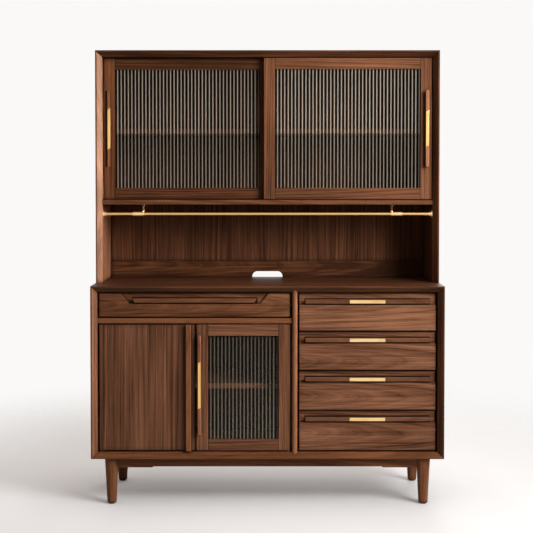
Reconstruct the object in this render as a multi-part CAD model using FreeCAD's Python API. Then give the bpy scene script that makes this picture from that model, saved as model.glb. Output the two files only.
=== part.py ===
import FreeCAD, Part
import math
import os

# Kitchen dresser: a base cabinet on turned legs with a shallower glazed hutch standing on it.
# Millimetres, +Z up, +X to the right of someone facing it, front towards -Y.
# The origin is on the floor below the middle of the piece.

# Overall sizes
WIDTH = 1400.0
DEPTH = 400.0
LEG_HEIGHT = 188.0  # floor to the underside of the base carcass
BASE_HEIGHT = 686.0
HUTCH_HEIGHT = 946.0
HUTCH_DEPTH = 260.0

# Outer boards, mitred at the corners, with a front edge that slopes inwards
BOARD = 25.0
EDGE_FLAT = 6.0  # flat strip left along the outside of each front edge
EDGE_BEVEL = 18.0  # how far back the slope runs
BACK_T = 9.0

# Fronts, doors and the gaps round them
FACE_SET = 20.0  # door and drawer faces behind the carcass front
GAP = 5.0  # dark reveal over and under every door and drawer front
SIDE_REVEAL = 7.0  # the wider one at their upright edges
FRONT_T = 20.0

# Inner boards of the base
INNER_BOARD = 20.5
DIVIDER_X = 107.5
DIVIDER_T = 22.0
NOSE = 8.0  # rise of the divider's rounded front edge
WIDE_OPENING = 103.0  # height of the wide drawer's opening
BASE_SHELF_Z = 454.0
BASE_SHELF_SET = 40.0  # shelf front behind the backs of the doors

# Drawers
DRAWERS = 4
DRAWER_GRADE = 3.0  # each front is this much taller than the one above
RECESS_H = 46.0
RECESS_D = 12.0
WIDE_RECESS_END = 83.75  # recess to each end of the wide drawer's front
WIDE_RECESS_H = 42.0
WIDE_RECESS_SLANT = 36.0  # how far each end of the wide drawer's recess leans in
BOX_SIDE_T = 12.0
BOX_BOTTOM_T = 6.0
BOX_LOW = 10.0  # box underside above the front's lower edge
BOX_TOP = 22.0  # box rim below the front's upper edge
BOX_REAR_ROOM = 41.0  # box to the back panel
SIDE_ROOM = 8.0  # box side to carcass wall
BOTTOM_UP = 6.0  # bottom panel above the box underside

# Wooden runners in grooves along the drawer sides
RUNNER_H = 12.0
RUNNER_REAR_ROOM = 38.0
GROOVE_D = 6.0
RUN_CLEAR = 0.4

# Wooden pull bars with a brass inlay
PULL_T = 8.0
PULL_STAND = 9.0  # space for the fingers behind a bar
PULL_CHAMFER = 2.0
POST_L = 14.0
POST_IN = 18.0  # post to bar end
INLAY_D = 3.0
INLAY_PROUD = 0.5
INLAY_MARGIN = 2.0
INLAY_SLANT = 6.0  # slanted ends of the inlays in upright pulls
DRAWER_PULL_END = 25.25  # bar to each end of a drawer front
WIDE_PULL_END = 49.0  # bar to each end of the wide drawer's recess
DRAWER_PULL_H = 17.0
DRAWER_INLAY_L = 141.0
DRAWER_PULL_UP = 5.0  # bar above the floor of the recess
GLASS_PULL_L = 394.0
GLASS_PULL_W = 14.0
GLASS_INLAY_L = 189.0
GLASS_PULL_UP = 11.0  # middle of the bar above the door's middle
SLIDE_PULL_L = 310.0
SLIDE_PULL_W = 15.0
SLIDE_INLAY_L = 150.0
FLUSH_INLAY_L = 170.0
PULL_EDGE = 4.0  # glazed door's pull in from the door's free edge
SLIDE_PULL_EDGE = 12.0  # sliding doors' pulls in from the outer edge
FLUSH_ROOM = 8.0  # finger channel beside the flush pull
FLUSH_END = 1.0
FLUSH_SINK = 0.5

# Solid door and its full-height batten
DOOR_SPLIT = -284.75  # middle of the gap between the two hinged doors
BATTEN_W = 21.0
BATTEN_FOOT = 13.0
BATTEN_RISE = 15.0
BATTEN_EDGE = 15.0  # batten to the free edge

# Framed doors with reeded glass
MEMBER = 45.0
REBATE = 8.0
LIP = 6.0  # wood in front of the glass
GLASS_T = 5.0
GLASS_CLEAR = 0.5
FLUTE_PITCH = 14.6
FLUTE_RISE = 1.5

# Pivot pins of the hinged doors
PIN_R = 3.0
PIN_CLEAR = 0.05
PIN_IN = 18.0
PIN_SEAT = 8.0
PIN_END = 0.5  # spare depth at the end of a hole
COLLAR_R = 5.5
SEAT_CLEAR = 0.3
PIVOT_EDGE = 7.0
PIVOT_BACK = 6.0

# Hutch
HUTCH_FLOOR_Z = 318.0  # underside of the hutch floor above the worktop
HUTCH_FLOOR_T = 20.0
NOSE_ROUND = 4.0
HUTCH_SHELF_Z = 611.0  # underside of the hutch shelf above the worktop
HUTCH_SHELF_T = 20.0
HUTCH_SHELF_SET = 16.0  # shelf front behind the rear sliding door
SPLASH_H = 69.0
SPLASH_T = 12.0
SLOT_W = 130.0
SLOT_H = 26.0
SLOT_R = 22.0

# Sliding doors in grooved boards
SLIDE_SET = 22.0  # front sliding door behind the hutch front
SLIDE_GAP = 4.0
SLIDE_PASS = 3.0  # space between the two doors
SLIDE_OVERLAP = 28.0
TONGUE_T = 8.0
TONGUE_CLEAR = 0.5
FLOOR_GROOVE = 6.0
TOP_GROOVE = 9.0
TOP_TONGUE = 5.0

# Hanging rail under the hutch floor
RAIL_R = 7.0
RAIL_DROP = 38.0
RAIL_BACK = 36.0
FLANGE_R = 17.0
FLANGE_T = 4.0
COLLAR_L = 9.0
SLEEVE_WALL = 2.5
SLEEVE_IN = 122.0  # hanger's sleeve to the side board
SLEEVE_L = 48.0
POST_R = 5.0
PLATE_R = 12.0
PLATE_T = 3.0
RAIL_CLEAR = 0.05

# Cleats under the shelves, and the dowels that locate the hutch
CLEAT_T = 10.0
CLEAT_H = 12.0
CLEAT_SET = 20.0  # cleat behind the shelf's front edge
DOWEL_R = 4.0
DOWEL_DOWN = 9.0
DOWEL_UP = 25.0
DOWEL_IN = 8.0  # dowel axis from the board's inner face

# Stand
LEG_IN = 77.0  # leg axis in from the carcass side
LEG_BACK = 43.0  # leg axis in from the carcass front and rear
LEG_TOP_R = 28.0
LEG_FOOT_R = 18.5
LEG_EASE = 3.0
GLIDE_R = 12.0
GLIDE_T = 3.0
APRON_T = 22.0
APRON_H = 42.0
APRON_STEP = 4.0
APRON_END = 168.0  # leg axis to the raised middle of the front apron
STEP_RUN = 6.0
JOIN_CLEAR = 0.1

# Planes and places worked out from the sizes above
HALF = WIDTH / 2
FRONT = -DEPTH / 2
REAR = DEPTH / 2
INNER = HALF - BOARD
LEG_X = HALF - LEG_IN
LEG_Y = DEPTH / 2 - LEG_BACK
BASE_LOW = LEG_HEIGHT
WORKTOP = LEG_HEIGHT + BASE_HEIGHT
BASE_FLOOR = BASE_LOW + BOARD
BASE_CEILING = WORKTOP - BOARD
TOP = WORKTOP + HUTCH_HEIGHT
HUTCH_CEILING = TOP - BOARD
HUTCH_FRONT = REAR - HUTCH_DEPTH
BACK = REAR - BACK_T
FACE = FRONT + FACE_SET
LEDGE = FRONT + EDGE_BEVEL
HUTCH_LEDGE = HUTCH_FRONT + EDGE_BEVEL
DIVIDER_LEFT = DIVIDER_X - DIVIDER_T / 2
DIVIDER_RIGHT = DIVIDER_X + DIVIDER_T / 2
RAIL_TOP = BASE_CEILING - WIDE_OPENING
RAIL_LOW = RAIL_TOP - INNER_BOARD
DOOR_LOW = BASE_FLOOR + GAP
DOOR_HIGH = RAIL_LOW - GAP
FLOOR_LOW = WORKTOP + HUTCH_FLOOR_Z
FLOOR_TOP = FLOOR_LOW + HUTCH_FLOOR_T
SHELF_LOW = WORKTOP + HUTCH_SHELF_Z
SPLASH_FRONT = BACK - SPLASH_T
SLIDE_LOW = FLOOR_TOP + SLIDE_GAP
SLIDE_HIGH = HUTCH_CEILING - SLIDE_GAP
SLIDE_FRONT_Y = HUTCH_FRONT + SLIDE_SET
SLIDE_REAR_Y = SLIDE_FRONT_Y + FRONT_T + SLIDE_PASS
SHELF_FRONT = SLIDE_REAR_Y + FRONT_T + HUTCH_SHELF_SET
RAIL_Y = HUTCH_FRONT + RAIL_BACK
RAIL_Z = FLOOR_LOW - RAIL_DROP
PIVOT_Y = FACE + PIVOT_BACK
PIVOT_LEFT = -INNER + SIDE_REVEAL + PIVOT_EDGE
PIVOT_RIGHT = DIVIDER_LEFT - SIDE_REVEAL - PIVOT_EDGE

X_AXIS = FreeCAD.Vector(1, 0, 0)
Y_AXIS = FreeCAD.Vector(0, 1, 0)
Z_AXIS = FreeCAD.Vector(0, 0, 1)


def point(x, y, z):
    return FreeCAD.Vector(x, y, z)


def block(x0, x1, y0, y1, z0, z1):
    """A straight board between six planes."""
    return Part.makeBox(x1 - x0, y1 - y0, z1 - z0, point(x0, y0, z0))


def prism(corners, run):
    """A closed outline drawn along a vector."""
    return Part.Face(Part.makePolygon(corners + corners[:1])).extrude(run)


def cylinder(radius, length, foot, axis):
    return Part.makeCylinder(radius, length, foot, axis)


def chain(points):
    """Straight edges through points in order."""
    return [Part.LineSegment(a, b).toShape() for a, b in zip(points, points[1:])]


def arc(start, middle, end):
    return Part.Arc(start, middle, end).toShape()


def mirrored(shape):
    """The same piece on the other side of the middle."""
    return shape.mirror(point(0, 0, 0), X_AXIS)


def save(name, *solids):
    """One file for one node: a single solid, or a group of separate ones."""
    shape = solids[0] if len(solids) == 1 else Part.makeCompound(list(solids))
    shape.exportStep("parts/" + name + ".step")


def sloped_mouth(front, low, high):
    """What the sloping front edges leave open: the outline shrinks from the flat strip to the opening."""
    lean = (BOARD - EDGE_FLAT) / EDGE_BEVEL

    def outline(depth):
        inset = EDGE_FLAT + lean * depth
        x = HALF - inset
        y = front + depth
        return Part.makePolygon([
            point(-x, y, low + inset), point(x, y, low + inset), point(x, y, high - inset),
            point(-x, y, high - inset), point(-x, y, low + inset)])

    return Part.makeLoft([outline(-EDGE_FLAT / 2), outline(EDGE_BEVEL)], True, True)


def side_board(front, low, high, low_mitre, high_mitre):
    """The left outer board, with its ends mitred where they meet another outer board."""
    corners = [
        point(-HALF, front, low), point(-HALF, front, high),
        point(-INNER, front, high - high_mitre), point(-INNER, front, low + low_mitre)]
    return prism(corners, Y_AXIS * (REAR - front))


def level_board(front, outside, inside):
    """A top or bottom outer board between mitres: its outer face is the longer one."""
    corners = [
        point(-HALF, front, outside), point(HALF, front, outside),
        point(INNER, front, inside), point(-INNER, front, inside)]
    return prism(corners, Y_AXIS * (REAR - front))


def dowels():
    """A dowel in each hutch side that locates it on the worktop, and the holes for both."""
    pins = []
    holes = []
    middle = (HUTCH_FRONT + REAR) / 2
    length = DOWEL_DOWN + DOWEL_UP
    for side in (-1, 1):
        foot = point(side * (INNER + DOWEL_IN), middle, WORKTOP - DOWEL_DOWN)
        pins.append(cylinder(DOWEL_R, length, foot, Z_AXIS))
        spare = Z_AXIS * PIN_END
        holes.append(cylinder(DOWEL_R + PIN_CLEAR, length + 2 * PIN_END, foot - spare, Z_AXIS))
    return pins, Part.makeCompound(holes)


def cleats(left, right, shelf_front, shelf_low):
    """A strip on the wall at each end of a shelf, under it."""
    span = (shelf_front + CLEAT_SET, BACK)
    heights = (shelf_low - CLEAT_H, shelf_low)
    return [block(left, left + CLEAT_T, *span, *heights), block(right - CLEAT_T, right, *span, *heights)]


def pivots():
    """A pin at the top and the foot of each hinged door, and the holes; the foot pin carries the door."""
    pins = []
    wood_holes = []
    door_holes = []
    for x in (PIVOT_LEFT, PIVOT_RIGHT):
        collar = cylinder(COLLAR_R, GAP - SEAT_CLEAR, point(x, PIVOT_Y, BASE_FLOOR), Z_AXIS)
        for seat, up in ((BASE_FLOOR, Z_AXIS), (RAIL_LOW, Z_AXIS * -1)):
            foot = point(x, PIVOT_Y, seat)
            pin = cylinder(PIN_R, PIN_SEAT + GAP + PIN_IN, foot - up * PIN_SEAT, up)
            pins.append(pin.fuse(collar).removeSplitter() if seat == BASE_FLOOR else pin)
            deep = PIN_SEAT + PIN_END
            wood_holes.append(cylinder(PIN_R + PIN_CLEAR, deep, foot - up * deep, up))
            door_holes.append(cylinder(PIN_R + PIN_CLEAR, GAP + PIN_IN + PIN_END, foot, up))
    return pins, Part.makeCompound(wood_holes), Part.makeCompound(door_holes)


def largest(shape):
    """The main piece left by a cut, without the slivers that fall away."""
    return max(shape.Solids, key=lambda s: s.Volume)


def divider(*neighbours):
    """The upright between doors and drawers, with a rounded nose that runs into the sloping edges."""
    nose = arc(
        point(DIVIDER_RIGHT, LEDGE, BASE_LOW), point(DIVIDER_X, LEDGE - NOSE, BASE_LOW),
        point(DIVIDER_LEFT, LEDGE, BASE_LOW))
    back = chain([
        point(DIVIDER_LEFT, LEDGE, BASE_LOW), point(DIVIDER_LEFT, BACK, BASE_LOW),
        point(DIVIDER_RIGHT, BACK, BASE_LOW), point(DIVIDER_RIGHT, LEDGE, BASE_LOW)])
    upright = Part.Face(Part.Wire([nose] + back)).extrude(Z_AXIS * BASE_HEIGHT)
    for board in neighbours:
        upright = upright.cut(board)
    return largest(upright)


def pull(length, width, inlay_length, stand, slant=0.0, inlay_slant=0.0):
    """A bar along X on two posts, facing -Y from a mounting plane at y = 0, and its brass inlay."""
    half = width / 2
    face = -stand - PULL_T
    section = [
        point(-length / 2, -stand, -half), point(-length / 2, -stand, half),
        point(-length / 2, face + PULL_CHAMFER, half), point(-length / 2, face, half - PULL_CHAMFER),
        point(-length / 2, face, PULL_CHAMFER - half), point(-length / 2, face + PULL_CHAMFER, -half)]
    bar = prism(section, X_AXIS * length)
    if slant:
        ends = [
            point(-length / 2, face, half), point(length / 2, face, half),
            point(length / 2 - slant, face, -half), point(slant - length / 2, face, -half)]
        bar = bar.common(prism(ends, Y_AXIS * PULL_T))
    pieces = [bar]
    if stand:
        for side in (-1, 1):
            x = side * (length / 2 - POST_IN - slant)
            high = half - PULL_CHAMFER
            pieces.append(block(x - POST_L / 2, x + POST_L / 2, -stand, 0, -high, high))
    if not inlay_length:
        return pieces, None
    reach = inlay_length / 2
    high = half - INLAY_MARGIN
    outline = [
        point(-reach, face - INLAY_PROUD, high), point(reach - inlay_slant, face - INLAY_PROUD, high),
        point(reach, face - INLAY_PROUD, -high), point(inlay_slant - reach, face - INLAY_PROUD, -high)]
    inlay = prism(outline, Y_AXIS * (INLAY_D + INLAY_PROUD))
    pieces[0] = bar.cut(inlay)
    return pieces, inlay


def placed(shape, x, y, z, upright=False):
    """A pull moved to its place, turned on end for a door."""
    turn = FreeCAD.Rotation(Y_AXIS, 90 if upright else 0)
    moved = shape.copy()
    moved.Placement = FreeCAD.Placement(point(x, y, z), turn)
    return moved


def framed_door(x0, x1, y, z0, z1):
    """Stiles, rails and glazing beads round one sheet of reeded glass."""
    open_x = (x0 + MEMBER, x1 - MEMBER)
    open_z = (z0 + MEMBER, z1 - MEMBER)
    back = y + FRONT_T
    pane = y + LIP
    rebate = block(
        open_x[0] - REBATE, open_x[1] + REBATE, pane, back, open_z[0] - REBATE, open_z[1] + REBATE)
    stiles = [block(x0, open_x[0], y, back, z0, z1), block(open_x[1], x1, y, back, z0, z1)]
    rails = [block(*open_x, y, back, z0, open_z[0]), block(*open_x, y, back, open_z[1], z1)]
    members = [piece.cut(rebate) for piece in stiles + rails]
    sheet = pane + FLUTE_RISE + JOIN_CLEAR
    bead = sheet + GLASS_T
    beads = [
        block(open_x[0] - REBATE, open_x[0], bead, back, open_z[0] - REBATE, open_z[1] + REBATE),
        block(open_x[1], open_x[1] + REBATE, bead, back, open_z[0] - REBATE, open_z[1] + REBATE),
        block(*open_x, bead, back, open_z[0] - REBATE, open_z[0]),
        block(*open_x, bead, back, open_z[1], open_z[1] + REBATE)]
    edge = REBATE - GLASS_CLEAR
    glass = reeded_sheet(open_x, edge, sheet, (open_z[0] - edge, open_z[1] + edge))
    return members + beads, glass


def reeded_sheet(open_x, edge, front, span):
    """Glass with upright rounded flutes over the sight opening and flat margins in the frame."""
    width = open_x[1] - open_x[0] - 2 * GLASS_CLEAR
    count = round(width / FLUTE_PITCH)
    pitch = width / count
    z = span[0]
    start = open_x[0] + GLASS_CLEAR
    flutes = []
    for i in range(count):
        left = start + i * pitch
        flutes.append(arc(
            point(left, front, z), point(left + pitch / 2, front - FLUTE_RISE, z),
            point(left + pitch, front, z)))
    last = start + width
    back = front + GLASS_T
    rim = chain([
        point(last, front, z), point(open_x[1] + edge, front, z), point(open_x[1] + edge, back, z),
        point(open_x[0] - edge, back, z), point(open_x[0] - edge, front, z), point(start, front, z)])
    return Part.Face(Part.Wire(flutes + rim)).extrude(Z_AXIS * (span[1] - span[0]))


def tongues(x0, x1, y):
    """Strips along the foot and head of a sliding door that run in the grooved boards."""
    near = y + (FRONT_T - TONGUE_T) / 2
    foot = FLOOR_TOP - FLOOR_GROOVE + SEAT_CLEAR
    head = HUTCH_CEILING + TOP_TONGUE
    return [
        block(x0, x1, near, near + TONGUE_T, foot, SLIDE_LOW),
        block(x0, x1, near, near + TONGUE_T, SLIDE_HIGH, head)]


def slide_groove(y, low, high):
    near = y + (FRONT_T - TONGUE_T) / 2 - TONGUE_CLEAR
    return block(-INNER, INNER, near, near + TONGUE_T + 2 * TONGUE_CLEAR, low, high)


def cable_slot():
    """A slot at the foot of the hutch back for a lead, with rounded upper corners."""
    half = SLOT_W / 2
    high = WORKTOP + SLOT_H
    turn = SLOT_R * (1 - math.sqrt(0.5))
    edges = chain([point(-half, 0, high - SLOT_R), point(-half, 0, WORKTOP), point(half, 0, WORKTOP),
                   point(half, 0, high - SLOT_R)])
    edges.append(arc(
        point(half, 0, high - SLOT_R), point(half - turn, 0, high - turn), point(half - SLOT_R, 0, high)))
    edges.append(Part.LineSegment(point(half - SLOT_R, 0, high), point(SLOT_R - half, 0, high)).toShape())
    edges.append(arc(
        point(SLOT_R - half, 0, high), point(turn - half, 0, high - turn), point(-half, 0, high - SLOT_R)))
    return Part.Face(Part.Wire(edges)).extrude(Y_AXIS * DEPTH)


def drawer_box(left, right, z0, z1):
    """Four boards behind a drawer front, with a runner groove in each side."""
    start = FACE + FRONT_T
    end = BACK - BOX_REAR_ROOM
    low = z0 + BOX_LOW
    high = z1 - BOX_TOP
    x0 = left + SIDE_ROOM
    x1 = right - SIDE_ROOM
    middle = (low + high) / 2
    groove_low = middle - RUNNER_H / 2 - RUN_CLEAR
    groove_high = middle + RUNNER_H / 2 + SEAT_CLEAR
    sides = []
    for near, far, cut in ((x0, x0 + BOX_SIDE_T, x0), (x1 - BOX_SIDE_T, x1, x1 - GROOVE_D)):
        groove = block(cut, cut + GROOVE_D, start + BOX_SIDE_T, end, groove_low, groove_high)
        sides.append(block(near, far, start, end, low, high).cut(groove))
    inside = (x0 + BOX_SIDE_T, x1 - BOX_SIDE_T)
    floor = low + BOTTOM_UP
    rear = block(*inside, end - BOX_SIDE_T, end, floor, high)
    bottom = block(*inside, start, end - BOX_SIDE_T, floor, floor + BOX_BOTTOM_T)
    reach = SIDE_ROOM + GROOVE_D - RUN_CLEAR
    run = (start + BOX_SIDE_T + RUN_CLEAR, BACK - RUNNER_REAR_ROOM)
    heights = (middle - RUNNER_H / 2, middle + RUNNER_H / 2)
    runners = [block(left, left + reach, *run, *heights), block(right - reach, right, *run, *heights)]
    return sides + [rear, bottom], runners


def recessed_front(x0, x1, z0, z1):
    """A drawer front whose upper band is cut back for the fingers, from end to end."""
    step = z1 - RECESS_H
    section = [
        point(x0, FACE, z0), point(x0, FACE, step), point(x0, FACE + RECESS_D, step),
        point(x0, FACE + RECESS_D, z1), point(x0, FACE + FRONT_T, z1), point(x0, FACE + FRONT_T, z0)]
    return prism(section, X_AXIS * (x1 - x0))


def notched_front(x0, x1, z0, z1):
    """The wide drawer's front, with a recess in its upper edge whose ends lean in."""
    left = x0 + WIDE_RECESS_END
    right = x1 - WIDE_RECESS_END
    step = z1 - WIDE_RECESS_H
    notch = prism([
        point(left, FACE, z1), point(right, FACE, z1), point(right - WIDE_RECESS_SLANT, FACE, step),
        point(left + WIDE_RECESS_SLANT, FACE, step)], Y_AXIS * RECESS_D)
    return block(x0, x1, FACE, FACE + FRONT_T, z0, z1).cut(notch)


def batten(edge):
    """The solid door's upright pull, wider at its front than at its foot so that fingers hold it."""
    right = edge - BATTEN_EDGE
    left = right - BATTEN_W
    tuck = (BATTEN_W - BATTEN_FOOT) / 2
    outer = FACE - BATTEN_RISE
    ease = outer + PULL_CHAMFER
    section = [
        point(left + tuck, FACE, DOOR_LOW), point(right - tuck, FACE, DOOR_LOW),
        point(right, ease, DOOR_LOW), point(right - PULL_CHAMFER, outer, DOOR_LOW),
        point(left + PULL_CHAMFER, outer, DOOR_LOW), point(left, ease, DOOR_LOW)]
    return prism(section, Z_AXIS * (DOOR_HIGH - DOOR_LOW))


def turned_leg(grow=0.0):
    """A tapered round leg with an eased foot; grow fattens it for cutting."""
    foot = LEG_FOOT_R + grow
    top = LEG_TOP_R + grow
    low = GLIDE_T
    profile = [
        point(0, 0, LEG_HEIGHT), point(0, 0, low), point(foot - LEG_EASE, 0, low),
        point(foot, 0, low + LEG_EASE), point(top, 0, LEG_HEIGHT), point(0, 0, LEG_HEIGHT)]
    return Part.Face(Part.makePolygon(profile)).revolve(point(0, 0, 0), Z_AXIS, 360)


def moved(shape, x, y, z=0.0):
    copy = shape.copy()
    copy.translate(point(x, y, z))
    return copy


def front_apron(y):
    """A rail between two legs, a little deeper at its ends."""
    low = LEG_HEIGHT - APRON_H
    high = low + APRON_STEP
    step = LEG_X - APRON_END
    corners = [
        point(-LEG_X, y, LEG_HEIGHT), point(LEG_X, y, LEG_HEIGHT), point(LEG_X, y, low),
        point(step + STEP_RUN, y, low), point(step, y, high), point(-step, y, high),
        point(-step - STEP_RUN, y, low), point(-LEG_X, y, low)]
    return prism(corners, Y_AXIS * APRON_T)


def stand():
    """Four legs on glides, joined by aprons under the carcass."""
    leg = turned_leg()
    places = [(x, y) for y in (-LEG_Y, LEG_Y) for x in (-LEG_X, LEG_X)]
    room = Part.makeCompound([moved(turned_leg(JOIN_CLEAR), x, y) for x, y in places])
    save("front_legs", *[moved(leg, x, y) for x, y in places[:2]])
    save("rear_legs", *[moved(leg, x, y) for x, y in places[2:]])
    save("foot_glides", *[cylinder(GLIDE_R, GLIDE_T, point(x, y, 0), Z_AXIS) for x, y in places])
    half = APRON_T / 2
    save("front_apron", front_apron(-LEG_Y - half).cut(room).Solids[0])
    save("rear_apron", front_apron(LEG_Y - half).cut(room).Solids[0])
    low = LEG_HEIGHT - APRON_H
    left = block(-LEG_X - half, half - LEG_X, -LEG_Y, LEG_Y, low, LEG_HEIGHT).cut(room).Solids[0]
    save("side_aprons", left, mirrored(left))


def base_carcass(dowel_holes, pin_holes):
    """The mitred outer boards, the back, the divider, the rail under the wide drawer and the shelf."""
    mouth = sloped_mouth(FRONT, BASE_LOW, WORKTOP)
    left = side_board(FRONT, BASE_LOW, WORKTOP, BOARD, BOARD).cut(mouth)
    right = mirrored(left)
    top = level_board(FRONT, WORKTOP, BASE_CEILING).cut(mouth)
    bottom = level_board(FRONT, BASE_LOW, BASE_FLOOR).cut(mouth)
    upright = divider(top, bottom)
    shelf_front = FACE + FRONT_T + BASE_SHELF_SET
    save("base_left_side", left)
    save("base_right_side", right)
    save("countertop", top.cut(dowel_holes))
    save("base_bottom", bottom.cut(pin_holes))
    save("centre_divider", upright)
    save("base_back", block(-INNER, INNER, BACK, REAR, BASE_FLOOR, BASE_CEILING))
    rail = block(-INNER, DIVIDER_LEFT, LEDGE, BACK, RAIL_LOW, RAIL_TOP)
    save("drawer_rail", rail.cut(pin_holes))
    shelf_top = BASE_SHELF_Z + INNER_BOARD
    save("base_shelf", block(-INNER, DIVIDER_LEFT, shelf_front, BACK, BASE_SHELF_Z, shelf_top))
    return cleats(-INNER, DIVIDER_LEFT, shelf_front, BASE_SHELF_Z)


def hutch_carcass(dowel_holes):
    """The hutch's outer boards, floor, shelf, back and the board along the foot of its back."""
    mouth = sloped_mouth(HUTCH_FRONT, WORKTOP - 2 * BOARD, TOP)
    left = side_board(HUTCH_FRONT, WORKTOP, TOP, 0, BOARD).cut(mouth)
    save("hutch_left_side", left.cut(dowel_holes))
    save("hutch_right_side", mirrored(left).cut(dowel_holes))
    top = level_board(HUTCH_FRONT, TOP, HUTCH_CEILING).cut(mouth)
    floor = block(-INNER, INNER, HUTCH_LEDGE, BACK, FLOOR_LOW, FLOOR_TOP)
    floor = floor.makeFillet(NOSE_ROUND, [
        edge for edge in floor.Edges
        if abs(edge.CenterOfMass.y - HUTCH_LEDGE) < SEAT_CLEAR and edge.Length > INNER])
    for y in (SLIDE_FRONT_Y, SLIDE_REAR_Y):
        floor = floor.cut(slide_groove(y, FLOOR_TOP - FLOOR_GROOVE, FLOOR_TOP))
        top = top.cut(slide_groove(y, HUTCH_CEILING, HUTCH_CEILING + TOP_GROOVE))
    save("hutch_top", top)
    save("hutch_floor", floor)
    save("hutch_shelf", block(-INNER, INNER, SHELF_FRONT, BACK, SHELF_LOW, SHELF_LOW + HUTCH_SHELF_T))
    slot = cable_slot()
    save("hutch_back", block(-INNER, INNER, BACK, REAR, WORKTOP, HUTCH_CEILING).cut(slot))
    splash = block(-INNER, INNER, SPLASH_FRONT, BACK, WORKTOP, WORKTOP + SPLASH_H)
    save("backsplash", splash.cut(slot))
    return cleats(-INNER, INNER, SHELF_FRONT, SHELF_LOW)


def hanging_rail():
    """A brass rod between two flanges, carried by two hangers from the hutch floor."""
    end = INNER - FLANGE_T - COLLAR_L
    save("hanging_rail", cylinder(RAIL_R, 2 * end, point(-end, RAIL_Y, RAIL_Z), X_AXIS))
    bore_r = RAIL_R + RAIL_CLEAR
    bore = cylinder(bore_r, 2 * end, point(-end, RAIL_Y, RAIL_Z), X_AXIS)
    sleeve_r = bore_r + SLEEVE_WALL
    flange = cylinder(FLANGE_R, FLANGE_T, point(-INNER, RAIL_Y, RAIL_Z), X_AXIS)
    flange = flange.fuse(cylinder(sleeve_r, COLLAR_L, point(FLANGE_T - INNER, RAIL_Y, RAIL_Z), X_AXIS))
    sleeve_end = SLEEVE_IN - INNER
    sleeve = cylinder(sleeve_r, SLEEVE_L, point(sleeve_end, RAIL_Y, RAIL_Z), X_AXIS)
    post_x = sleeve_end + SLEEVE_L - POST_R
    post = cylinder(POST_R, RAIL_DROP, point(post_x, RAIL_Y, RAIL_Z), Z_AXIS)
    plate = cylinder(PLATE_R, PLATE_T, point(post_x, RAIL_Y, FLOOR_LOW - PLATE_T), Z_AXIS)
    hanger = sleeve.fuse([post, plate]).cut(bore)
    left = [largest(flange), largest(hanger)]
    save("rail_brackets", *left, *[mirrored(piece) for piece in left])


def drawers():
    """The bank of four drawers on the right and the wide one on the left; returns their runners."""
    x0 = DIVIDER_RIGHT + SIDE_REVEAL
    x1 = INNER - SIDE_REVEAL
    room = BASE_CEILING - BASE_FLOOR - (DRAWERS + 1) * GAP
    mean = room / DRAWERS
    high = BASE_CEILING - GAP
    runners = []
    for i in range(DRAWERS):
        name = "drawer_%d" % (i + 1)
        height = mean + DRAWER_GRADE * (i - (DRAWERS - 1) / 2)
        low = high - height
        save(name + "_front", recessed_front(x0, x1, low, high))
        bar, inlay = pull(x1 - x0 - 2 * DRAWER_PULL_END, DRAWER_PULL_H, DRAWER_INLAY_L, PULL_STAND)
        seat = ((x0 + x1) / 2, FACE + RECESS_D, high - RECESS_H + DRAWER_PULL_UP + DRAWER_PULL_H / 2)
        save(name + "_pull", *[placed(piece, *seat) for piece in bar])
        save(name + "_inlay", placed(inlay, *seat))
        box, pair = drawer_box(DIVIDER_RIGHT, INNER, low, high)
        save(name + "_box", *box)
        runners += pair
        high = low - GAP
    low = RAIL_TOP + GAP
    high = BASE_CEILING - GAP
    x0 = SIDE_REVEAL - INNER
    x1 = DIVIDER_LEFT - SIDE_REVEAL
    save("wide_drawer_front", notched_front(x0, x1, low, high))
    length = x1 - x0 - 2 * (WIDE_RECESS_END + WIDE_PULL_END)
    bar, _ = pull(length, DRAWER_PULL_H, 0, PULL_STAND, DRAWER_PULL_H / 2)
    seat = ((x0 + x1) / 2, FACE + RECESS_D, high - WIDE_RECESS_H + DRAWER_PULL_UP + DRAWER_PULL_H / 2)
    save("wide_drawer_pull", *[placed(piece, *seat) for piece in bar])
    box, pair = drawer_box(-INNER, DIVIDER_LEFT, low, high)
    save("wide_drawer_box", *box)
    return runners + pair


def hinged_doors(pin_holes):
    """The solid door on the left and the glazed one beside it."""
    edge = DOOR_SPLIT - SIDE_REVEAL / 2
    panel = block(SIDE_REVEAL - INNER, edge, FACE, FACE + FRONT_T, DOOR_LOW, DOOR_HIGH)
    save("left_door_panel", panel.cut(pin_holes))
    save("left_door_batten", batten(edge))
    x0 = DOOR_SPLIT + SIDE_REVEAL / 2
    frame, glass = framed_door(x0, DIVIDER_LEFT - SIDE_REVEAL, FACE, DOOR_LOW, DOOR_HIGH)
    save("glass_door_frame", *[piece.cut(pin_holes) for piece in frame])
    save("glass_door_glass", glass)
    bar, inlay = pull(GLASS_PULL_L, GLASS_PULL_W, GLASS_INLAY_L, PULL_STAND, inlay_slant=INLAY_SLANT)
    seat = (x0 + PULL_EDGE + GLASS_PULL_W / 2, FACE, (DOOR_LOW + DOOR_HIGH) / 2 + GLASS_PULL_UP)
    save("glass_door_pull", *[placed(piece, *seat, upright=True) for piece in bar])
    save("glass_door_inlay", placed(inlay, *seat, upright=True))


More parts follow.
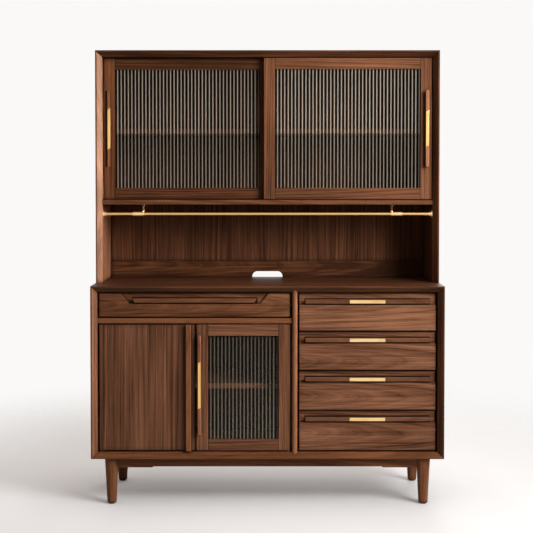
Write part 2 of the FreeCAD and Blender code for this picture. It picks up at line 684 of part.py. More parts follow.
def sliding_doors():
    """Two glazed doors that pass each other: the right one in front with a standing pull."""
    reach = INNER - SLIDE_GAP
    meet = SLIDE_OVERLAP / 2
    middle = (SLIDE_LOW + SLIDE_HIGH) / 2
    pull_x = reach - SLIDE_PULL_EDGE - SLIDE_PULL_W / 2
    frame, glass = framed_door(-meet, reach, SLIDE_FRONT_Y, SLIDE_LOW, SLIDE_HIGH)
    save("sliding_right_frame", *frame, *tongues(-meet, reach, SLIDE_FRONT_Y))
    save("sliding_right_glass", glass)
    bar, inlay = pull(SLIDE_PULL_L, SLIDE_PULL_W, SLIDE_INLAY_L, PULL_STAND, inlay_slant=INLAY_SLANT)
    seat = (pull_x, SLIDE_FRONT_Y, middle)
    save("sliding_right_pull", *[placed(piece, *seat, upright=True) for piece in bar])
    save("sliding_right_inlay", placed(inlay, *seat, upright=True))
    frame, glass = framed_door(-reach, meet, SLIDE_REAR_Y, SLIDE_LOW, SLIDE_HIGH)
    sink = SLIDE_REAR_Y + PULL_T + FLUSH_SINK
    half = SLIDE_PULL_L / 2 + FLUSH_END
    pocket = block(
        -pull_x - SLIDE_PULL_W / 2 - FLUSH_ROOM, SLIDE_PULL_W / 2 - pull_x, SLIDE_REAR_Y, sink,
        middle - half, middle + half)
    frame[0] = frame[0].cut(pocket)
    save("sliding_left_frame", *frame, *tongues(-reach, meet, SLIDE_REAR_Y))
    save("sliding_left_glass", glass)
    bar, inlay = pull(SLIDE_PULL_L, SLIDE_PULL_W, FLUSH_INLAY_L, 0, inlay_slant=INLAY_SLANT)
    seat = (-pull_x, sink, middle)
    save("sliding_left_pull", *[placed(piece, *seat, upright=True) for piece in bar])
    save("sliding_left_inlay", placed(inlay, *seat, upright=True))


def main():
    os.makedirs("parts", exist_ok=True)
    dowel_pins, dowel_holes = dowels()
    pins, wood_holes, door_holes = pivots()
    stand()
    strips = base_carcass(dowel_holes, wood_holes) + hutch_carcass(dowel_holes)
    save("shelf_cleats", *strips)
    save("hutch_dowels", *dowel_pins)
    save("door_pivots", *pins)
    hanging_rail()
    save("drawer_runners", *drawers())
    hinged_doors(door_holes)
    sliding_doors()


main()
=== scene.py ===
import math

import bmesh
import bpy
from bpy.props import FloatProperty, FloatVectorProperty, PointerProperty
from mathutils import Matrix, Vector


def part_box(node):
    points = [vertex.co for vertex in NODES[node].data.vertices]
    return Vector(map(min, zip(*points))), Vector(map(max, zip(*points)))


bl_info = {
    "name": "Kitchen Dresser Finish",
    "version": (1, 0, 0),
    "blender": (4, 5, 0),
    "location": "3D View > Sidebar > Dresser",
    "description": "Finishes a walnut kitchen dresser with reeded glass and brass in a pale studio",
    "category": "Object",
}

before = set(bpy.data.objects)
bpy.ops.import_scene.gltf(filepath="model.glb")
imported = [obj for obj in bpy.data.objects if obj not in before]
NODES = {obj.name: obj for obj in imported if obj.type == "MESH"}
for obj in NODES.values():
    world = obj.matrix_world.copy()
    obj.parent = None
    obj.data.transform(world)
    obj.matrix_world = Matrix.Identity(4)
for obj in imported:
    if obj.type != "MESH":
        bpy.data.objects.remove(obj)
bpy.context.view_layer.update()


def srgb(red, green, blue):
    """A colour written in 0 to 255 steps, as the linear values that shaders take."""
    linear = []
    for step in (red, green, blue):
        part = step / 255
        linear.append(part / 12.92 if part <= 0.04045 else ((part + 0.055) / 1.055) ** 2.4)
    return tuple(linear)


def colour_property(name, description, default):
    return FloatVectorProperty(
        name=name, description=description, default=default, size=3, min=0, max=1, subtype="COLOR")


def place_property(name, description, default):
    return FloatVectorProperty(
        name=name, description=description, default=default, size=3, subtype="TRANSLATION", unit="LENGTH")


def length_property(name, description, default):
    return FloatProperty(name=name, description=description, default=default, unit="LENGTH")


def angle_property(name, description, degrees):
    return FloatProperty(name=name, description=description, default=math.radians(degrees), subtype="ANGLE")


def power_property(name, watts):
    return FloatProperty(name=name, description="In watts", default=watts, unit="POWER")


class WalnutFinish(bpy.types.PropertyGroup):
    """Colours and grain of the oiled walnut."""

    dark: colour_property("Dark grain", "Late wood", srgb(66, 39, 26))
    middle: colour_property("Middle", "Most of the wood", srgb(124, 81, 58))
    light: colour_property("Light grain", "Pale streaks", srgb(168, 116, 86))
    pore: colour_property("Pore", "Short dark vessels in the wood", srgb(40, 23, 15))
    warmth: colour_property("Warmth", "Tint of the narrow boards and edges", (1.0, 0.9, 0.72))
    # Painted shade in inner corners, behind the pull bars and at panel rims, and the dark of the door frames'
    # joints
    shade_and_joint_dark: colour_property("Dirt", "Oil and dust in the corners", srgb(20, 11, 7))
    ring_spacing: length_property("Ring spacing", "Between growth rings", 0.008)
    streak_width: length_property("Streak width", "Of the light and dark streaks", 0.005)
    # How far the painted shade in inner corners reaches
    crevice: length_property("Crevice", "How far oil and dust darken the wood from an inner corner", 0.02)
    edge_radius: length_property("Eased edge", "Rounding of every arris", 0.0009)
    roughness: FloatProperty(
        name="Roughness", description="Of the satin oil", default=0.52, min=0, max=1, subtype="FACTOR")
    sheen: colour_property("Sheen", "Tint of the oil's reflections", srgb(255, 226, 200))


class FittingFinish(bpy.types.PropertyGroup):
    """Colours of the metal, glass, drawer wood and glides."""

    brass: colour_property("Brass", "Inlays, hanging rail and its brackets", srgb(250, 212, 156))
    brass_shade: colour_property("Brass shade", "Handled and older patches of brass", srgb(224, 180, 118))
    golden_brass: colour_property("Golden brass", "Upright inlays of the doors", srgb(246, 202, 128))
    golden_shade: colour_property("Golden shade", "Older patches of golden brass", srgb(222, 172, 98))
    # Painted shadow on the hanger posts, under the hutch floor
    painted_post_shade: colour_property("Aged brass", "Hanger posts of the rail", srgb(92, 62, 34))
    steel: colour_property("Steel", "Pivot pins", srgb(62, 60, 58))
    steel_shade: colour_property("Steel shade", "Oiled patches of the pins", srgb(42, 40, 38))
    # The flute colours are painted: a highlight on one side of each flute and the shade of the inside on the
    # other
    flute_pale: colour_property("Pale side", "Side of each flute that catches the light", srgb(184, 171, 156))
    flute_dark: colour_property("Dark side", "Side of each flute that shows the inside", srgb(8, 6, 4))
    flute_pitch: length_property("Flute pitch", "Width of one flute of the glass", 0.0146)
    glass_margin: length_property("Glass margin", "Flat edge of a sheet in its frame", 0.008)
    drawer_light: colour_property("Drawer wood", "Pale wood inside the drawers", srgb(196, 160, 118))
    drawer_dark: colour_property("Drawer wood grain", "Its darker grain", srgb(150, 112, 74))
    glide: colour_property("Glide", "Pads under the feet", srgb(38, 36, 34))
    glide_scuff: colour_property("Glide scuff", "Rubbed patches of the pads", srgb(86, 82, 78))


class StudioSettings(bpy.types.PropertyGroup):
    """Camera, lamps and floor."""

    camera_place: place_property("Camera", "Where the camera stands", (-0.004, -4.263, 1.302))
    lens: FloatProperty(name="Lens", description="Focal length in millimetres", default=69.73)
    sensor: FloatProperty(name="Sensor", description="Width of the sensor in millimetres", default=36.0)
    tilt: angle_property("Tilt", "How far the camera looks down", 1.5)
    rise: FloatProperty(name="Lens shift", description="Upright shift of the frame", default=-0.1155)
    lamp_colour: colour_property("Lamp colour", "Warm white of every lamp", (1.0, 0.96, 0.92))
    key_place: place_property("Key lamp", "Large soft lamp at the right of the camera", (2.35, -1.85, 2.35))
    key_aim: place_property("Key aim", "What the key lamp faces", (0.05, -0.1, 1.05))
    key_size: length_property("Key size", "Side of the key lamp", 1.7)
    key_power: power_property("Key power", 43.5)
    key_spread: angle_property("Key spread", "Angle of the key lamp's beam", 100)
    side_place: place_property("Side lamp", "Narrow lamp level with the hutch", (3.0, -0.15, 1.6))
    side_aim: place_property("Side aim", "What the side lamp faces", (-0.7, -0.05, 1.45))
    side_size: length_property("Side size", "Side of the side lamp", 0.9)
    side_power: power_property("Side power", 18.0)
    side_spread: angle_property("Side spread", "Angle of the side lamp's beam", 45)
    back_place: place_property("Back lamp", "Soft lamp behind, for the floor and the back", (1.1, 2.7, 2.3))
    back_aim: place_property("Back aim", "What the back lamp faces", (0.0, 0.3, 0.6))
    back_size: length_property("Back size", "Side of the back lamp", 1.6)
    back_power: power_property("Back power", 30.0)
    back_spread: angle_property("Back spread", "Angle of the back lamp's beam", 180)
    ambient: colour_property("Ambient", "Light from all round", srgb(32, 31, 31))
    backdrop: colour_property("Backdrop", "What the camera sees behind the dresser", srgb(250, 249, 248))
    floor: colour_property("Floor", "Pale studio floor", srgb(224, 231, 238))
    floor_marks: colour_property("Floor marks", "Faint marks on the floor", srgb(206, 212, 218))
    floor_light: colour_property("Floor light", "Colour of the light added to the floor", srgb(246, 235, 227))
    floor_glow: FloatProperty(
        name="Floor glow", description="Light added to the floor as seen, to bring it to white", default=0.51)
    floor_radius: length_property("Floor radius", "Where the floor has faded out", 2.6)
    floor_solid: FloatProperty(
        name="Solid floor", description="Share of the radius where the floor starts to fade", default=0.35,
        min=0, max=1, subtype="FACTOR")
    # How far the painted shadow round the feet reaches
    floor_crevice: length_property("Floor crevice", "How far the added light keeps away from the feet", 0.4)


# Where most values of a noise lie
NOISE_RANGE = (0.3, 0.7)

# Rays per point for rounded arrises, for the painted shade in inner corners and for the painted shade on the
# floor
EDGE_SAMPLES = 6
CORNER_SAMPLES = 6
FLOOR_SAMPLES = 12


class Bench:
    """A material's node tree, with short calls to add nodes and join them."""

    def __init__(self, name):
        self.material = bpy.data.materials.new(name)
        self.material.use_nodes = True
        self.tree = self.material.node_tree
        self.surface = self.tree.nodes["Principled BSDF"]

    def feed(self, socket, value):
        if isinstance(value, bpy.types.NodeSocket):
            self.tree.links.new(value, socket)
        else:
            socket.default_value = value

    def add(self, kind, inputs, **settings):
        node = self.tree.nodes.new(kind)
        for name, value in settings.items():
            setattr(node, name, value)
        for key, value in inputs.items():
            self.feed(node.inputs[key], value)
        return node

    def finish(self, **inputs):
        """Feeds the surface shader; a name's underscores stand for spaces."""
        for name, value in inputs.items():
            self.feed(self.surface.inputs[name.replace("_", " ")], value)
        return self.material

    def math(self, operation, first, second=0.0):
        return self.add("ShaderNodeMath", {0: first, 1: second}, operation=operation).outputs[0]

    def vector(self, operation, first, second):
        return self.add("ShaderNodeVectorMath", {0: first, 1: second}, operation=operation).outputs[0]

    def noise(self, place, stretch, detail, roughness=0.55):
        """Noise in wood or metal, stretched by three frequencies per metre."""
        stretched = self.vector("MULTIPLY", place, stretch)
        inputs = {"Vector": stretched, "Scale": 1.0, "Detail": detail, "Roughness": roughness}
        return self.add("ShaderNodeTexNoise", inputs).outputs["Fac"]

    def spread(self, value, low, high, to_low=0.0, to_high=1.0):
        """Maps the range from low to high to another one, and holds the ends."""
        inputs = {"Value": value, "From Min": low, "From Max": high, "To Min": to_low, "To Max": to_high}
        return self.add("ShaderNodeMapRange", inputs).outputs["Result"]

    def vary(self, noise, to_low, to_high):
        """Maps the range that most of a noise lies in to another one."""
        return self.spread(noise, *NOISE_RANGE, to_low, to_high)

    def centred(self, value, middle):
        """How far a value lies from a middle, to either side."""
        return self.math("ABSOLUTE", self.math("SUBTRACT", value, middle))

    def weighed(self, *shares):
        """Adds values up, each times its share."""
        products = [self.math("MULTIPLY", value, share) for value, share in shares]
        total = products[0]
        for product in products[1:]:
            total = self.math("ADD", total, product)
        return total

    def mix(self, factor, first, second, blend="MIX"):
        node = self.add("ShaderNodeMix", {}, data_type="RGBA", blend_type=blend)
        self.feed(node.inputs["Factor"], factor)
        self.feed(node.inputs["A"], first)
        self.feed(node.inputs["B"], second)
        return node.outputs["Result"]

    def ramp(self, factor, stops):
        node = self.add("ShaderNodeValToRGB", {"Fac": factor})
        elements = node.color_ramp.elements
        while len(elements) < len(stops):
            elements.new(0.5)
        for element, (place, colour) in zip(elements, stops):
            element.position = place
            element.color = opaque(colour)
        return node.outputs["Color"]

    def bump(self, height, depth, under=None):
        inputs = {"Height": height, "Strength": 1.0, "Distance": depth}
        if under is not None:
            inputs["Normal"] = under
        return self.add("ShaderNodeBump", inputs).outputs["Normal"]


def opaque(colour):
    return (*colour, 1)


def object_axes(bench):
    """The object coordinates of a point, by letter."""
    place = bench.add("ShaderNodeTexCoord", {}).outputs["Object"]
    return bench.add("ShaderNodeSeparateXYZ", {0: place}).outputs


def past_rails(bench, middle, half):
    """How far a point of a door frame lies past the ends of the rails, in metres."""
    return bench.math("SUBTRACT", bench.centred(object_axes(bench)["X"], middle), half)


def on_stile(bench, middle, half):
    """1 on the stiles of a door frame, beyond the opening, and 0 on the rails."""
    return bench.math("GREATER_THAN", past_rails(bench, middle, half), 0.0)


def board_axes(bench, grain, centre=(0, 0, 0), upright_beyond=None):
    """Places from the centre, as along the grain, across the face and through the board.

    grain is two letters, along and across. In a door frame, upright_beyond gives the middle of the opening
    and half its width, and the wood further out is stile, with upright grain.
    """
    spot = bench.vector("SUBTRACT", bench.add("ShaderNodeTexCoord", {}).outputs["Object"], centre)
    split = bench.add("ShaderNodeSeparateXYZ", {0: spot})

    def ordered(letters):
        third = (set("XYZ") - set(letters)).pop()
        axes = [split.outputs[letter] for letter in letters + third]
        return bench.add("ShaderNodeCombineXYZ", {0: axes[0], 1: axes[1], 2: axes[2]}).outputs[0]

    place = ordered(grain)
    if upright_beyond is None:
        return place
    turned = bench.add("ShaderNodeMix", {}, data_type="VECTOR")
    bench.feed(turned.inputs["Factor"], on_stile(bench, *upright_beyond))
    bench.feed(turned.inputs[4], place)
    bench.feed(turned.inputs[5], ordered("ZX"))
    return turned.outputs[1]


def from_rim(bench, name):
    """How far a point of an upright panel lies inside the panel's outer edge, in metres."""
    low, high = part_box(name)
    axes = object_axes(bench)
    inside = []
    for i, letter in ((0, "X"), (2, "Z")):
        aside = bench.centred(axes[letter], (low[i] + high[i]) / 2)
        inside.append(bench.math("SUBTRACT", (high[i] - low[i]) / 2, aside))
    return bench.math("MINIMUM", *inside)


# Cosines of the turn from a face to its arris, where the arris mask starts and where it is full
ARRIS_TURN = (0.99, 0.8)


def edge_mask(bench, radius):
    """How much a point lies on a rounded arris, and the normal of that rounding."""
    rounded = bench.add("ShaderNodeBevel", {"Radius": radius}, samples=EDGE_SAMPLES).outputs["Normal"]
    flat = bench.add("ShaderNodeNewGeometry", {}).outputs["Normal"]
    facing = bench.add("ShaderNodeVectorMath", {0: rounded, 1: flat}, operation="DOT_PRODUCT")
    return bench.spread(facing.outputs["Value"], *ARRIS_TURN), rounded


# Noises in walnut: frequencies per metre along, across and through a board, then detail
BROAD_BANDS = ((2.0, 12, 12), 3)
RING_BEND = ((0.8, 3, 3), 2)
RING_WAVER = ((4, 30, 30), 3)
PORES = ((26, 900, 900), 2)
STREAKS_ALONG = 2.6
STREAK_DETAIL = 5
STREAK_ROUGHNESS = 0.6
RING_DETAIL = 4.0
RING_ROUGHNESS = 0.6

# How far a ring strays from its circle, over a long and a short way
BEND_REACH = 0.02
WAVER_REACH = 0.006

# Where the heart lies behind the board and to one side, and how much it leans, in three steps
HEART_DEPTH = 0.09
HEART_ASIDE = 0.1
LEAN = 0.05
LEAN_STEP = 0.02
LEANS = 3

# What a seed moves the grain by, along, across and through the board, and how it moves the heart
WALNUT_STEPS = (0.371, 1.913, 0.737)
SEED_TURN = 0.618

# Shares of rings, streaks and broad bands in the grain, and where on that scale the three colours lie
RING_SHARE = 0.3
STREAK_SHARE = 0.37
BAND_SHARE = 0.33
DARK_AT = 0.4
MIDDLE_AT = 0.5
LIGHT_AT = 0.61

# Range of the noise where pores start and are full, and how far they colour the wood
PORE_RANGE = (0.56, 0.7)
PORE_SHARE = 0.4

# Glued strips: how far along the tree and to the side each is moved, how tones differ, share of the lean
STRIP_JUMP = 9.0
STRIP_ASIDE = 0.35
STRIP_TONE = 0.018
STRIP_LEAN = 0.2

# How upright a normal is where the painted shade on an upper face's tone starts and is full
UPWARD = (0.5, 0.9)

# Dark lines, from where they start to where they are full, with their strength: the rim's line and the
# reach of its softer shade are painted shade, and the joint's line is the dark of a frame's joints
RIM_LINE = (0.003, 0.001)
RIM_STRENGTH = 0.8
RIM_REACH = 0.02
JOINT_LINE = (0.0018, 0.0006)
JOINT_STRENGTH = 0.7

# Open air over an inner corner where the painted shade starts and is full, and its strength
CORNER_AIR = (0.95, 0.35)
CORNER_STRENGTH = 0.97

# Shade behind a pull bar: how far it reaches past the bar and into the front, and where it is full
BAR_REACH = 0.006
BAR_FULL = 0.002
BAR_DEPTH = 0.009
BAR_DEPTH_FULL = 0.004

# Oil: reflection, what full polish adds to it and takes from the roughness, and how the streaks vary it
SHEEN = 0.12
POLISH_SHEEN = 0.2
POLISH_SMOOTHS = 0.16
STREAK_SMOOTHS = 0.05
STREAK_ROUGHENS = 0.07

# Relief of the streaks as a share of the pores' depth
STREAK_RELIEF = 0.4
GRAIN_DEPTH = 0.0002


def growth_rings(bench, place, shifted, spacing, lean, heart):
    """Uneven rings round a heart that lies behind the board and leans towards one end of it.

    The lean makes the rings meet the face in long arches, which straighten towards the edges. heart is how
    far the middle of the arches lies to one side.
    """
    bend = bench.noise(shifted, *RING_BEND)
    waver = bench.noise(shifted, *RING_WAVER)
    axes = bench.add("ShaderNodeSeparateXYZ", {0: place}).outputs
    bent = bench.spread(bend, 0, 1, heart - BEND_REACH, heart + BEND_REACH)
    aside = bench.math("ADD", axes["Y"], bent)
    along = bench.math("MULTIPLY", axes["X"], lean)
    behind = bench.math("ADD", bench.math("ADD", axes["Z"], along), HEART_DEPTH)
    from_heart = bench.add("ShaderNodeCombineXYZ", {0: aside, 1: behind}).outputs[0]
    radius = bench.add("ShaderNodeVectorMath", {0: from_heart}, operation="LENGTH").outputs["Value"]
    radius = bench.math("ADD", radius, bench.math("MULTIPLY", waver, WAVER_REACH))
    count = bench.math("DIVIDE", radius, spacing)
    inputs = {"W": count, "Scale": 1.0, "Detail": RING_DETAIL, "Roughness": RING_ROUGHNESS}
    return bench.add("ShaderNodeTexNoise", inputs, noise_dimensions="1D").outputs["Fac"]


def glued_strips(bench, place, shifted, stave, tone):
    """Breaks a board up into strips, each from another part of the tree and with a tone of its own.

    Returns the places for the rings, the places for the noises and the tone.
    """
    across = bench.add("ShaderNodeSeparateXYZ", {0: place}).outputs["Y"]
    strip = bench.math("FLOOR", bench.math("DIVIDE", across, stave))
    chance = bench.add("ShaderNodeTexWhiteNoise", {"W": strip}, noise_dimensions="1D").outputs["Value"]
    jump = bench.math("MULTIPLY", chance, STRIP_JUMP)
    shifted = bench.vector("ADD", shifted, bench.add("ShaderNodeCombineXYZ", {0: jump}).outputs[0])
    aside = bench.spread(bench.math("FRACT", jump), 0, 1, -STRIP_ASIDE, STRIP_ASIDE)
    aside = bench.math("SUBTRACT", aside, bench.math("MULTIPLY", strip, stave))
    place = bench.vector("ADD", place, bench.add("ShaderNodeCombineXYZ", {1: aside}).outputs[0])
    return place, shifted, bench.spread(chance, 0, 1, tone - STRIP_TONE, tone + STRIP_TONE)


def local_tone(bench, tone, top, stile, opening):
    """A board's tone, with the painted shade added on its upper faces and what is added on a frame's stiles.
    """
    if top:
        normal = bench.add("ShaderNodeNewGeometry", {}).outputs["True Normal"]
        upward = bench.add("ShaderNodeSeparateXYZ", {0: normal}).outputs["Z"]
        tone = bench.math("ADD", bench.spread(upward, *UPWARD, 0, top), tone)
    if stile:
        tone = bench.math("ADD", bench.math("MULTIPLY", on_stile(bench, *opening), stile), tone)
    return tone


def behind_bar(bench, front, bar):
    """How far a point of a drawer front lies in the shade behind its pull bar."""
    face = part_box(front)[0].y
    low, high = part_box(bar)
    axes = object_axes(bench)
    aside = bench.centred(axes["X"], (low.x + high.x) / 2)
    half = (high.x - low.x) / 2
    under = bench.spread(axes["Z"], high.z + BAR_REACH, high.z + BAR_FULL)
    across = bench.spread(aside, half + BAR_REACH, half + BAR_FULL)
    deep = bench.spread(bench.centred(axes["Y"], face + BAR_DEPTH), BAR_DEPTH, BAR_DEPTH_FULL)
    return bench.math("MULTIPLY", bench.math("MULTIPLY", under, across), deep)


def darkened(bench, wood, name, opening, crevice, bar, rim):
    """Wood with painted shade at its rim, in inner corners and behind a pull bar, and dark lines at a frame's
    joints.
    """
    finish = bpy.context.scene.dresser_walnut
    shade_and_joint_dark = opaque(finish.shade_and_joint_dark)
    if rim:
        inside = from_rim(bench, name)
        line = bench.spread(inside, *RIM_LINE, 0, RIM_STRENGTH)
        shade = bench.math("MAXIMUM", line, bench.spread(inside, RIM_REACH, 0, 0, rim))
        wood = bench.mix(shade, wood, shade_and_joint_dark)
    if opening:
        off_joint = bench.math("ABSOLUTE", past_rails(bench, *opening))
        wood = bench.mix(bench.spread(off_joint, *JOINT_LINE, 0, JOINT_STRENGTH), wood, shade_and_joint_dark)
    reach = {"Distance": finish.crevice * crevice}
    open_to_air = bench.add("ShaderNodeAmbientOcclusion", reach, samples=CORNER_SAMPLES).outputs["AO"]
    wood = bench.mix(bench.spread(open_to_air, *CORNER_AIR, 0, CORNER_STRENGTH), wood, shade_and_joint_dark)
    if bar:
        wood = bench.mix(behind_bar(bench, name, bar), wood, shade_and_joint_dark)
    return wood


def walnut(
        name, grain, seed, tone=0.0, figure=1.0, warm=0.0, stave=0.0, upright_beyond=None, crevice=1.0,
        bar=None, top=0.0, stile=0.0, rim=0.0, edge=0.1, polish=0.0):
    """Oiled walnut for one board: growth rings cut at a slant, streaks, pores and a satin sheen.

    tone makes a board lighter or darker than the rest, figure is the contrast of its grain, and warm is how
    much it takes of the warm tint. stave is the width of the strips it is glued from, and crevice is how far
    the painted shade reaches from inner corners, as a share of the usual. bar is the pull with painted shade
    behind it. top is painted shade added to the tone of an upper face, and stile is added to the tone of a
    frame's stiles. rim is how far a panel is darkened towards its outer edge as painted shade, edge how far
    its arrises are made pale, as wear and, where it is high, as a painted highlight, and polish goes from 0
    to 1.
    """
    finish = bpy.context.scene.dresser_walnut
    bench = Bench("walnut_" + name)
    low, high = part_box(name)
    place = board_axes(bench, grain, (low + high) / 2, upright_beyond)
    shifted = bench.vector("ADD", place, [seed * step for step in WALNUT_STEPS])
    lean = LEAN + LEAN_STEP * (seed % LEANS)
    if stave:
        place, shifted, tone = glued_strips(bench, place, shifted, stave, tone)
        lean *= STRIP_LEAN
    tone = local_tone(bench, tone, top, stile, upright_beyond)
    heart = HEART_ASIDE * ((seed * SEED_TURN) % 1 - 0.5)
    rings = growth_rings(bench, place, shifted, finish.ring_spacing, lean, heart)
    fine = 1 / finish.streak_width
    streak = bench.noise(shifted, (STREAKS_ALONG, fine, fine), STREAK_DETAIL, STREAK_ROUGHNESS)
    broad = bench.noise(shifted, *BROAD_BANDS)
    blend = bench.weighed((rings, RING_SHARE), (streak, STREAK_SHARE), (broad, BAND_SHARE))
    blend = bench.spread(blend, 0, 1, 0.5 - figure / 2, 0.5 + figure / 2)
    blend = bench.math("ADD", blend, tone)
    wood = bench.ramp(blend, [(DARK_AT, finish.dark), (MIDDLE_AT, finish.middle), (LIGHT_AT, finish.light)])
    pores = bench.spread(bench.noise(shifted, *PORES), *PORE_RANGE)
    wood = bench.mix(bench.math("MULTIPLY", pores, PORE_SHARE), wood, opaque(finish.pore))
    if warm:
        wood = bench.mix(warm, wood, opaque(finish.warmth), "MULTIPLY")
    # Pale arrises: a little wear, and where edge is high, as on the worktop, a painted highlight
    arris_mask, rounded = edge_mask(bench, finish.edge_radius)
    wood = bench.mix(bench.math("MULTIPLY", arris_mask, edge), wood, opaque(finish.light))
    wood = darkened(bench, wood, name, upright_beyond, crevice, bar, rim)
    rough = finish.roughness - POLISH_SMOOTHS * polish
    grip = bench.vary(streak, rough - STREAK_SMOOTHS, rough + STREAK_ROUGHENS)
    relief = bench.math("SUBTRACT", bench.math("MULTIPLY", streak, STREAK_RELIEF), pores)
    return bench.finish(
        Base_Color=wood, Roughness=grip, Specular_IOR_Level=SHEEN + POLISH_SHEEN * polish,
        Specular_Tint=opaque(finish.sheen), Normal=bench.bump(relief, GRAIN_DEPTH, rounded))


# Drawer wood: its noises, the share of streaks, where its two colours lie, and its finish
DRAWER_STREAKS = ((1.6, 120, 120), 5, 0.6)
DRAWER_BANDS = ((0.6, 9, 9), 3)
DRAWER_STEPS = (0.41, 1.37, 0.59)
DRAWER_STREAK_SHARE = 0.6
DRAWER_BAND_SHARE = 0.4
DRAWER_DARK_AT = 0.36
DRAWER_LIGHT_AT = 0.6
DRAWER_EDGE = 0.001
DRAWER_WEAR = 0.25
DRAWER_ROUGHNESS = (0.5, 0.62)
DRAWER_SHEEN = 0.3


def drawer_wood(name, grain, seed):
    """Plain sanded pale wood for the drawer boxes, runners and dowels."""
    finish = bpy.context.scene.dresser_fittings
    bench = Bench("drawer_wood_" + name)
    place = bench.vector("ADD", board_axes(bench, grain), [seed * step for step in DRAWER_STEPS])
    streak = bench.noise(place, *DRAWER_STREAKS)
    broad = bench.noise(place, *DRAWER_BANDS)
    blend = bench.weighed((streak, DRAWER_STREAK_SHARE), (broad, DRAWER_BAND_SHARE))
    wood = bench.ramp(blend, [(DRAWER_DARK_AT, finish.drawer_dark), (DRAWER_LIGHT_AT, finish.drawer_light)])
    arris_mask, rounded = edge_mask(bench, DRAWER_EDGE)
    wood = bench.mix(bench.math("MULTIPLY", arris_mask, DRAWER_WEAR), wood, opaque(finish.drawer_dark))
    return bench.finish(
        Base_Color=wood, Roughness=bench.vary(streak, *DRAWER_ROUGHNESS), Specular_IOR_Level=DRAWER_SHEEN,
        Normal=bench.bump(streak, GRAIN_DEPTH, rounded))


# Metal: brushing and handled patches, eased edges and their wear, and how the painted shadow on a hanger's
# post starts
BRUSHING = ((14, 2600, 2600), 3)
HANDLING = ((9, 30, 30), 4)
HANDLED_RANGE = (0.42, 0.72)
METAL_EDGE = 0.0007
METAL_WEAR = 0.4
BRUSH_SMOOTHS = 0.05
BRUSH_ROUGHENS = 0.07
BRUSH_DEPTH = 0.00004
POST_FADE_UP = 0.004
POST_FADE_ASIDE = 0.01


def metal(name, colour, shade, along, roughness, posts=None):
    """Brushed metal: fine lines along one axis, handled patches and brighter arrises.

    posts gives the colour of the painted shadow on hanger posts, the height where it starts and how far from
    the middle it ends.
    """
    bench = Bench(name)
    place = board_axes(bench, along)
    brushed = bench.noise(place, *BRUSHING)
    patch = bench.noise(place, *HANDLING)
    tint = bench.mix(bench.spread(patch, *HANDLED_RANGE), opaque(colour), opaque(shade))
    arris_mask, rounded = edge_mask(bench, METAL_EDGE)
    tint = bench.mix(bench.math("MULTIPLY", arris_mask, METAL_WEAR), tint, opaque(colour))
    if posts:
        post_shade_colour, height, reach = posts
        axes = object_axes(bench)
        up = bench.spread(axes["Z"], height, height + POST_FADE_UP)
        inward = bench.spread(bench.math("ABSOLUTE", axes["X"]), reach, reach - POST_FADE_ASIDE)
        tint = bench.mix(bench.math("MULTIPLY", up, inward), tint, opaque(post_shade_colour))
    grip = bench.math("ADD", bench.vary(brushed, -BRUSH_SMOOTHS, BRUSH_ROUGHENS), roughness)
    return bench.finish(
        Base_Color=tint, Metallic=1.0, Roughness=grip, Normal=bench.bump(brushed, BRUSH_DEPTH, rounded))


# Painted highlight line of a flute: where in the flute it lies, and its half width where it starts and is
# full
LINE_AT = 0.68
LINE_FADE = (0.22, 0.09)

# Glass: unevenness from drawing, what that does to its cover and roughness, and its reflection
DRAWING = ((14, 14, 1.6), 3)
DRAWN_COVER = (0.94, 1.06)
GLASS_ROUGHNESS = (0.14, 0.22)
GLASS_IOR = 1.5
GLASS_SHEEN = 0.05

# How near the back of the sheet a point counts as its smooth back, and what is left of the cover there
BACK_SKIN = 0.0005
BACK_COVER = 0.1

# Half the height of the step in light at a shelf, as a share of the sheet
SHELF_STEP = 0.004


def inside_light(bench, glass, shelf, levels):
    """The painted light and shade of the space behind a sheet of glass, by height.

    levels are for the foot of the glass, just under the shelf, just over it and the top of the glass.
    """
    low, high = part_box(glass)
    ledge = (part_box(shelf)[0].z - low.z) / (high.z - low.z)
    height = bench.spread(object_axes(bench)["Z"], low.z, high.z)
    places = (0, ledge - SHELF_STEP, ledge + SHELF_STEP, 1)
    return bench.ramp(height, [(place, (level,) * 3) for place, level in zip(places, levels)])


